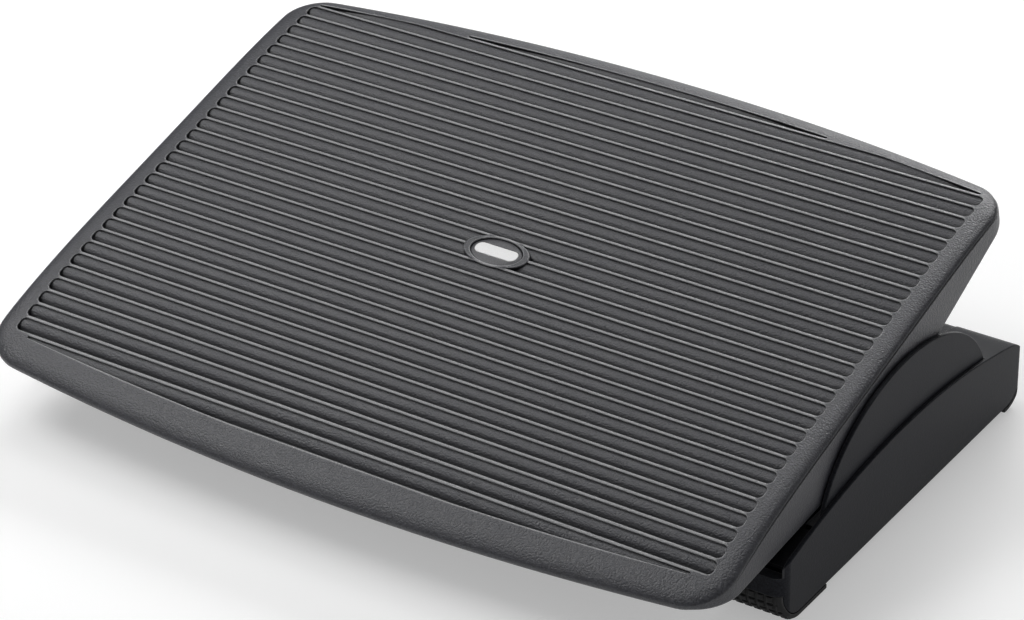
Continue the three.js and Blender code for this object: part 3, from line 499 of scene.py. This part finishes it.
for side in (1.0, -1.0):
    for radius, start in ((bush_seat, inside_boss), (ring_seat, ring_seat_start)):
        combine(deck, rod_across(radius, side * start, side * outside_deck, pivot_s, pivot_n), "DIFFERENCE")
    slot = []
    for reach, turns, onward in ((slot_reach + slot_half, slot_turns, 0.0),
                                 (slot_reach - slot_half, slot_turns[::-1], math.pi)):
        slot += [(reach * math.cos(math.radians(t)), reach * math.sin(math.radians(t))) for t in turns]
        middle = math.radians(turns[-1])
        for bend in (45.0, 90.0, 135.0):
            turn = middle - math.radians(bend) + onward
            slot.append((slot_reach * math.cos(middle) + slot_half * math.cos(turn),
                         slot_reach * math.sin(middle) + slot_half * math.sin(turn)))
    laid_face("stop_slot", [(side * slot_start, pivot_s + s, pivot_n + n) for s, n in slot],
              Vector((-side, 0.0, 0.0)))
    pull(side * (outside_deck - slot_start), 0.0, 0.0)
    combine(deck, finish_work(), "DIFFERENCE")

# Rows of corners at every half pitch, so that the tray can follow the crown
work_on(deck)
bpy.ops.mesh.remove_doubles(threshold=weld)
for station in range(-36, 34):
    bpy.ops.mesh.select_all(action="SELECT")
    bpy.ops.mesh.bisect(plane_co=(0.0, station * rib_pitch / 2.0, 0.0), plane_no=(0.0, 1.0, 0.0))
finish_work()
for corner in deck.data.vertices:
    corner.co.z += crown(corner.co.y)
deck_place = (Matrix.Scale(mm, 4) @ Matrix.Translation((0.0, deck_middle, deck_rise))
              @ Matrix.Rotation(deck_turn, 4, "X"))
deck.data.transform(deck_place)


def soft_shading(piece):
    select_all_of([piece])
    bpy.ops.object.shade_smooth_by_angle(angle=math.radians(32.0))
    weigh = piece.modifiers.new("weighted", "WEIGHTED_NORMAL")
    weigh.keep_sharp = True
    bpy.ops.object.modifier_apply(modifier=weigh.name)


soft_shading(deck)
put_on(deck_plastic, deck)
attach(deck, "platform")
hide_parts("foot_platform", "right_deck_skirt", "left_deck_skirt")


# The badge is a loose oval disc in satin dark grey plastic, a little domed, that snaps into the pad in the
# middle of the deck. A white plate with round ends is let into it and is left bare.
disc_length, disc_width, disc_foot, disc_wall, disc_edge = 30.0, 18.0, -1.6, 0.7, 0.35
disc_dome = ((0.9, 0.2), (1.1, 0.15), (1.3, 0.1), (1.5, 0.05))
white_length, white_width, white_foot, white_wall, white_edge = 26.0, 7.6, -0.6, 0.4, 0.25
seat_play, seat_start, seat_depth = 0.5, 1.0, 1.65
disc_plastic = moulded_plastic("satin_dark_grey", (0.065, 0.065, 0.072), 0.4, 0.0005, 0.00003, 0.05)
label_plastic = moulded_plastic("smooth_white", (0.78, 0.78, 0.78), 0.3, 0.0005, 0.00001, 0.0)


def long_oval(length, width, height, steps=14):
    reach, end = (length - width) / 2.0, width / 2.0
    turns = [math.pi * i / steps - math.pi / 2.0 for i in range(steps + 1)]
    outline = [(reach + end * math.cos(t), end * math.sin(t), height) for t in turns]
    return outline + [(-x, -y, height) for x, y, _ in outline]


laid_face("badge_oval", oval(disc_length, disc_width, disc_foot, 72), Vector((0.0, 0.0, 1.0)))
pull(0.0, 0.0, disc_wall)
raise_with_round_edge(disc_edge)
for width, rise in disc_dome:
    bpy.ops.mesh.inset(thickness=width, depth=rise)
disc = finish_work()
laid_face("plate_seat", long_oval(white_length + seat_play, white_width + seat_play, seat_start),
          Vector((0.0, 0.0, -1.0)))
pull(0.0, 0.0, -seat_depth)
combine(disc, finish_work(), "DIFFERENCE")
laid_face("badge_plate", long_oval(white_length, white_width, white_foot), Vector((0.0, 0.0, 1.0)))
pull(0.0, 0.0, white_wall)
raise_with_round_edge(white_edge)
bpy.ops.mesh.inset(thickness=1.2, depth=0.05)
white_plate = finish_work()
for piece, node, slot, finish in ((disc, "badge_disc", "disc_plastic", disc_plastic),
                                  (white_plate, "badge_label", "label_plastic", label_plastic)):
    piece.data.transform(deck_place)
    soft_shading(piece)
    put_on(finish, piece)
    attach(piece, "platform")
    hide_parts(node)


# The towers are moulded in satin black plastic. Each is a low domed plate beside the deck's skirt, with the
# pivot stub and the stop pin on its inner face and a screwed flange with four gussets along its foot.
# The edges of the base are lifted by 0.05, which is wear and painted highlight.
base_plastic = moulded_plastic("satin_black", (0.021, 0.022, 0.027), 0.38, 0.0009, 0.0001, 0.05, 0.07)
leg_centre = 29.0145
gap, cut_past = 0.3, 3.0
plate_inner, plate_sheet, plate_edge = 225.4, 2.2, 0.6
plate_outer, plate_middle = plate_inner + plate_sheet, plate_inner + plate_sheet / 2.0
dome_half, dome_waist, dome_top, dome_foot = 86.0, 30.0, 89.0, 6.8
pivot_height, stub, stub_end, stub_edge = 69.5, 7.0, 210.2, 0.5
stop_reach, stop_pin, stop_pin_end = 19.0, 2.5, 220.2
flange_inner, flange_half, flange_low, flange_top = 203.4, 58.0, 11.8, 14.8
gusset, gusset_top = 2.4, 37.0
tower_screws, tower_screw_x = (-46.4, 46.4), 214.4
screw_boss, screw_boss_top, screw_hole, screw_hole_top = 4.4, 19.2, 2.0, 18.0
pivot_hole, pivot_hole_end = 2.2, 222.5


def arc(y, z, wide, high, start, end, steps):
    turns = [math.radians(start + (end - start) * i / steps) for i in range(steps + 1)]
    return [(y + wide * math.cos(t), z + high * math.sin(t)) for t in turns]


def slab_across(points, start, end, round_edge=0.0):
    laid_face("slab", [(start, y, z) for y, z in points], Vector((end - start, 0.0, 0.0)))
    pull(end - start - math.copysign(round_edge, end - start), 0.0, 0.0)
    if round_edge:
        raise_with_round_edge(round_edge, 4)
    return finish_work()


def slab_along(points, start, end):
    laid_face("slab", [(x, start, z) for x, z in points], Vector((0.0, start - end, 0.0)))
    pull(0.0, end - start, 0.0)
    return finish_work()


def rod_up(radius, low, high, x, y, corners=32):
    turns = [math.tau * i / corners for i in range(corners)]
    laid_face("rod", [(x + radius * math.cos(t), y + radius * math.sin(t), low) for t in turns],
              Vector((0.0, 0.0, -1.0)))
    pull(0.0, 0.0, high - low)
    return finish_work()


def dome_outline(margin):
    half, rise = dome_half + margin, dome_top - dome_waist + margin
    return [(half, dome_foot), *arc(0.0, dome_waist, half, rise, 0.0, 180.0, 96), (-half, dome_foot)]


def on_the_floor(piece, name, solid, finish):
    piece.name = name
    work_on(piece)
    bpy.ops.mesh.remove_doubles(threshold=weld)
    finish_work()
    piece.data.transform(Matrix.Scale(mm, 4) @ Matrix.Translation((0.0, leg_centre, 0.0)))
    soft_shading(piece)
    put_on(finish, piece)
    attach(piece, "base")
    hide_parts(solid)


def on_both_sides(piece, name, solid, finish):
    other = piece.copy()
    other.data = piece.data.copy()
    bpy.context.collection.objects.link(other)
    other.data.transform(Matrix.Scale(-1.0, 4, (1.0, 0.0, 0.0)))
    on_the_floor(piece, "right_" + name, "right_" + solid, finish)
    on_the_floor(other, "left_" + name, "left_" + solid, finish)


tower = slab_across(dome_outline(0.0), plate_inner, plate_outer, plate_edge)
inside_flange = (flange_low + flange_top) / 2.0
fixings = [block((flange_inner, -flange_half, flange_low), (plate_middle, flange_half, flange_top))]
for share in (-0.62, -0.24, 0.24, 0.62):
    y = share * flange_half
    fixings.append(slab_along([(flange_inner, inside_flange), (plate_middle, inside_flange),
                               (plate_middle, gusset_top), (plate_inner - gusset, gusset_top)],
                              y - gusset / 2.0, y + gusset / 2.0))
for y in tower_screws:
    fixings.append(rod_up(screw_boss, inside_flange, screw_boss_top, tower_screw_x, y))
fixings.append(rod_across(stop_pin, stop_pin_end, plate_middle, 0.0, pivot_height - stop_reach, 24))
turns = [math.tau * i / 48 for i in range(48)]
laid_face("stub", [(plate_middle, stub * math.cos(t), pivot_height + stub * math.sin(t)) for t in turns],
          Vector((-1.0, 0.0, 0.0)))
pull(stub_end + stub_edge - plate_middle, 0.0, 0.0)
raise_with_round_edge(stub_edge, 2)
fixings.append(finish_work())
for fixing in fixings:
    combine(tower, fixing, "UNION")
pilots = [rod_across(pivot_hole, stub_end - cut_past, pivot_hole_end, 0.0, pivot_height, 24)]
for y in tower_screws:
    pilots.append(rod_up(screw_hole, flange_low - cut_past, screw_hole_top, tower_screw_x, y, 24))
for pilot in pilots:
    combine(tower, pilot, "DIFFERENCE")
on_both_sides(tower, "dome_tower", "pivot_tower", base_plastic)


# The legs are long boxes moulded in the same satin black. The outer wall is arched and stands up past the
# tower, the channel behind it is open in front and roofed behind, and the rear end is a socket for the bar.
leg_half, leg_base, leg_floor = 126.5, 3.5, 6.5
leg_inner, leg_outer, wall_inner, leg_edge = 194.8, 230.0, 227.9, 0.7
plan_corner, plan_spare = 8.0, 0.03
front_bend, rear_bend = 17.5, 18.0
front_top_corner, rear_top_corner, socket_corner = 9.0, 15.5, 11.0
shoe, shoe_top = 3.5, 19.0
arch_top, arch_radius = 53.5, 453.507
channel_end, roof_start, bulkhead, socket_start, roof = 120.0, 60.0, 88.5, 90.9, 2.4
low_wall, low_wall_top, over_the_leg = 2.6, 29.5, 80.0
cross_rib = ((196.1, -103.1, 5.0), (228.95, -100.9, 18.5))
crossbar_screws, crossbar_screw_y = (200.5, 212.5), 99.0
tower_post, head_seat, head_seat_top = 6.0, 3.9, 3.7
peg, pegs, front_peg_y, rear_peg_y = 2.5, (203.4, 221.4), -96.0, 113.5


def arch(y, inset):
    return arch_top - arch_radius + math.sqrt((arch_radius - inset) ** 2 - y ** 2)


def arch_line(start, end, inset):
    count = max(2, round(abs(end - start) / 4.0))
    line = [start + (end - start) * i / count for i in range(count + 1)]
    return [(y, arch(y, inset)) for y in line]


def top_corner(end, size, inset):
    start = end - math.copysign(size, end)
    below, sharp = (end, arch(end, inset) - size), (end, arch(end, inset))
    beside = (start, arch(start, inset))
    line = []
    for t in [i / 12.0 for i in range(12)]:
        line.append(tuple((1 - t) ** 2 * a + 2 * t * (1 - t) * b + t ** 2 * c
                          for a, b, c in zip(below, sharp, beside)))
    return line


def plan_of_leg():
    x, y, r = leg_outer - plan_corner, leg_half - plan_corner, plan_corner + plan_spare
    outline = [(leg_inner - cut_past, -y - r), *arc(x, -y, r, r, -90.0, 0.0, 14),
               *arc(x, y, r, r, 0.0, 90.0, 14), (leg_inner - cut_past, y + r)]
    laid_face("plan", [(x, y, -cut_past) for x, y in outline], Vector((0.0, 0.0, -1.0)))
    pull(0.0, 0.0, dome_top + 2.0 * cut_past)
    return finish_work()


front_y, rear_y = front_bend - leg_half, leg_half - rear_bend
outline = [
    *arc(front_y, front_bend, front_bend - shoe, front_bend - shoe, 180.0, 270.0, 16),
    *arc(rear_y, rear_bend, rear_bend - shoe, rear_bend - shoe, 270.0, 360.0, 14),
    (leg_half - shoe, shoe_top), (leg_half, shoe_top), *top_corner(leg_half, rear_top_corner, 0.0),
    *arch_line(leg_half - rear_top_corner, front_top_corner - leg_half, 0.0),
    *reversed(top_corner(-leg_half, front_top_corner, 0.0)), (-leg_half, shoe_top),
    (shoe - leg_half, shoe_top)]
leg = combine(slab_across(outline, leg_inner, leg_outer, leg_edge), plan_of_leg(), "INTERSECT")
channel_bend, socket_bend = front_bend - leg_floor, rear_bend - leg_floor
channel = [(-channel_end, arch_top + cut_past),
           *arc(front_y, front_bend, channel_bend, channel_bend, 180.0, 270.0, 14), (bulkhead, leg_floor),
           *arch_line(bulkhead, roof_start, roof), (roof_start, arch_top + cut_past)]
socket = [(socket_start, leg_floor), *arc(rear_y, rear_bend, socket_bend, socket_bend, 270.0, 360.0, 10),
          *top_corner(channel_end, socket_corner, roof),
          *arch_line(channel_end - socket_corner, socket_start, roof)]
for hollow in (slab_across(channel, leg_inner + low_wall, wall_inner),
               slab_across(socket, leg_inner - cut_past, wall_inner),
               block((leg_inner - cut_past, -leg_half - cut_past, low_wall_top),
                     (wall_inner, roof_start, over_the_leg)),
               slab_across(dome_outline(gap), plate_inner - gap, wall_inner)):
    combine(leg, hollow, "DIFFERENCE")
combine(leg, block(*cross_rib), "UNION")
for y in tower_screws:
    combine(leg, rod_up(tower_post, leg_base + 0.5, flange_low - gap, tower_screw_x, y), "UNION")
screw_spots = [(tower_screw_x, y) for y in tower_screws] + [(x, crossbar_screw_y) for x in crossbar_screws]
for x, y in screw_spots:
    combine(leg, rod_up(head_seat, leg_base - cut_past, head_seat_top, x, y), "DIFFERENCE")
    combine(leg, rod_up(screw_hole, leg_base - cut_past, flange_low, x, y), "DIFFERENCE")
for x in pegs:
    for y in (front_peg_y, rear_peg_y):
        combine(leg, rod_up(peg + gap, leg_base - cut_past, leg_floor + gap, x, y), "DIFFERENCE")
on_both_sides(leg, "arched_leg", "side_leg", base_plastic)


# The crossbar is a channel moulded in the same black and open below, with cross ribs inside. A hollow plug at
# each end slides into the leg's socket, where two screws from below hold it.
bar_end, bar_wall, bar_rib = 194.5, 2.5, 2.2
bar_front, bar_rear, bar_foot, bar_drop = 85.0, 126.0, 7.5, 0.5
bar_low_corner, bar_top_corner = 12.0, 15.0
plug_end, plug_edge, plug_post_top, plug_hole_top = 218.5, 0.4, 21.2, 20.0


def bar_outline(inset, foot):
    rear, front, drop = bar_rear - inset, bar_front + inset, bar_drop + inset
    low, high = bar_low_corner - inset, bar_top_corner - inset
    return [(front, foot), (rear - low, foot),
            *arc(rear - low, bar_foot + bar_low_corner, low, low, 270.0, 360.0, 14),
            *top_corner(rear, high, drop), *arch_line(rear - high, front, drop)]


def plug_outline(margin):
    rear, bend, corner = channel_end - margin, socket_bend - margin, socket_corner - margin
    return [(socket_start + margin, leg_floor + margin),
            *arc(rear_y, rear_bend, bend, bend, 270.0, 360.0, 10), *top_corner(rear, corner, roof + margin),
            *arch_line(rear - corner, socket_start + margin, roof + margin)]


bar = slab_across(bar_outline(0.0, bar_foot), -bar_end, bar_end)
hollow = bar_outline(bar_wall, bar_foot - cut_past)
combine(bar, slab_across(hollow, bar_wall - bar_end, bar_end - bar_wall), "DIFFERENCE")
brace = bar_outline(bar_wall / 2.0, bar_foot + bar_wall / 2.0)
for x in (-bar_end / 2.0, 0.0, bar_end / 2.0):
    combine(bar, slab_across(brace, x - bar_rib / 2.0, x + bar_rib / 2.0), "UNION")
for side in (1.0, -1.0):
    plug = slab_across(plug_outline(gap), side * (bar_end - bar_wall / 2.0), side * plug_end, plug_edge)
    roofed = [(y, z) for y, z in plug_outline(gap + bar_wall) if z > rear_bend - gap]
    hollow = [(socket_start + gap + bar_wall, 0.0), (channel_end - gap - bar_wall, 0.0), *roofed]
    inside = slab_across(hollow, side * (bar_end + bar_wall), side * (plug_end - bar_wall))
    combine(plug, inside, "DIFFERENCE")
    brace = plug_outline(gap + bar_wall / 2.0)
    for x in crossbar_screws:
        post = rod_up(screw_boss, leg_floor + gap, plug_post_top, side * x, crossbar_screw_y)
        combine(plug, post, "UNION")
        combine(plug, slab_across(brace, side * (x - bar_rib / 2.0), side * (x + bar_rib / 2.0)), "UNION")
    for x in crossbar_screws:
        hole = rod_up(screw_hole, leg_base, plug_hole_top, side * x, crossbar_screw_y, 24)
        combine(plug, hole, "DIFFERENCE")
    combine(bar, plug, "UNION")
on_the_floor(bar, "joining_bar", "rear_crossbar", base_plastic)


# The shoes under the ends of the legs are moulded in black rubber, with two pegs pressed into the leg's floor
# and a grid of blunt studs that wraps up round the end.
foot_rubber = moulded_plastic("black_rubber", (0.008, 0.008, 0.009), 0.75, 0.0005, 0.00004, 0.02)
front_shoe_length, rear_shoe_length = 43.5, 20.0
stud_height, stud_pitch, stud_half, stud_root, stud_columns = 1.0, 5.0, 1.8, 0.4, 7
stud_taper, stud_edge, stud_sunk = 0.84, 0.3, 0.05


def blunt_stud():
    stud = block((-stud_half, -stud_half, -stud_height), (stud_half, stud_half, stud_root))
    for part in (*stud.data.vertices, *stud.data.edges, *stud.data.polygons):
        part.select = False
    for corner in stud.data.vertices:
        corner.select = corner.co.z < 0.0
    bpy.ops.object.mode_set(mode="EDIT")
    bpy.ops.mesh.select_mode(type="VERT")
    bpy.ops.transform.resize(value=(stud_taper, stud_taper, 1.0))
    bpy.ops.mesh.select_mode(type="EDGE")
    bpy.ops.mesh.bevel(offset=stud_edge, segments=1, affect="EDGES")
    return finish_work()


def studded_shoe(end, bend, length, peg_y):
    centre, level = end * (leg_half - bend), end * (leg_half - length)
    inner, outer = bend - shoe + gap, bend - stud_height
    out = 270.0 + end * 90.0
    body = slab_across([
        (level, stud_height), *arc(centre, bend, outer, outer, 270.0, out, 16),
        (end * (leg_half - stud_height), shoe_top - gap), (end * (leg_half - shoe + gap), shoe_top - gap),
        *arc(centre, bend, inner, inner, out, 270.0, 16), (level, shoe - gap)], leg_inner, leg_outer)
    for x in pegs:
        combine(body, rod_up(peg, shoe / 2.0, leg_floor - gap, x, peg_y, 24), "UNION")
    pattern = blunt_stud()
    studs, flat = [], length - bend
    for row in range(math.ceil((flat + bend * math.pi / 2.0) / stud_pitch)):
        reach = (row + 0.5) * stud_pitch
        turn = max(0.0, reach - flat) / bend
        y, z = centre + end * bend * math.sin(turn), bend * (1.0 - math.cos(turn))
        if reach < flat:
            y, z = level + end * reach, 0.0
        for column in range(stud_columns):
            stud = pattern.copy()
            stud.data = pattern.data.copy()
            bpy.context.collection.objects.link(stud)
            x = (leg_inner + leg_outer) / 2.0 + (column - (stud_columns - 1) / 2.0) * stud_pitch
            stud.data.transform(Matrix.Translation((x, y, z)) @ Matrix.Rotation(end * turn, 4, "X")
                                @ Matrix.Translation((0.0, 0.0, stud_height + stud_sunk)))
            studs.append(stud)
    bpy.data.objects.remove(pattern)
    combine(body, joined(studs), "UNION")
    return combine(body, plan_of_leg(), "INTERSECT")


front_shoe = studded_shoe(-1.0, front_bend, front_shoe_length, front_peg_y)
on_both_sides(front_shoe, "front_shoe", "front_foot", foot_rubber)
rear_shoe = studded_shoe(1.0, rear_bend, rear_shoe_length, rear_peg_y)
on_both_sides(rear_shoe, "rear_shoe", "rear_foot", foot_rubber)


# The pivots turn in off-white bearing bushes, and a black rubber ring grips each one. Zinc plated washers and
# screws hold it all together. Small and hidden, they stay the plain solids, in their own finishes.
bush_plastic = moulded_plastic("off_white_nylon", (0.79, 0.76, 0.70), 0.4, 0.0005, 0.00001, 0.0)
ring_rubber = moulded_plastic("ring_black_rubber", (0.008, 0.008, 0.009), 0.75, 0.0005, 0.00004, 0.01)


def plated_steel(name, shade):
    finish, make = new_finish(name)
    place = make.add("TexCoord", {}, {}, "Object")
    spangle = make.add("TexNoise", {}, {"Vector": place, "Scale": 900.0, "Detail": 2.0})
    stain = make.add("TexNoise", {}, {"Vector": place, "Scale": 160.0, "Detail": 3.0})
    round_edge = make.add("Bevel", {"samples": 6}, {"Radius": 0.0003}, "Normal")
    dull = [c * 0.8 for c in shade]
    colour = mixed(make, stain, dull, shade)
    bump = make.add("Bump", {}, {"Strength": 1.0, "Distance": 0.00001, "Height": spangle,
                                 "Normal": round_edge})
    skin = make.add("BsdfPrincipled", {}, {
        "Base Color": colour,
        "Metallic": 1.0,
        "Roughness": 0.3 + (spangle - 0.5) * 0.15 + (stain - 0.5) * 0.2,
        "Normal": bump,
    })
    make.add("OutputMaterial", {}, {"Surface": skin})
    return finish


zinc_steel = plated_steel("bright_zinc", (0.48, 0.50, 0.53))
for node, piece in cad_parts.items():
    if "screw" in node or "washer" in node:
        put_on(zinc_steel, piece)
    elif "bush" in node:
        put_on(bush_plastic, piece)
    elif "ring" in node:
        put_on(ring_rubber, piece)
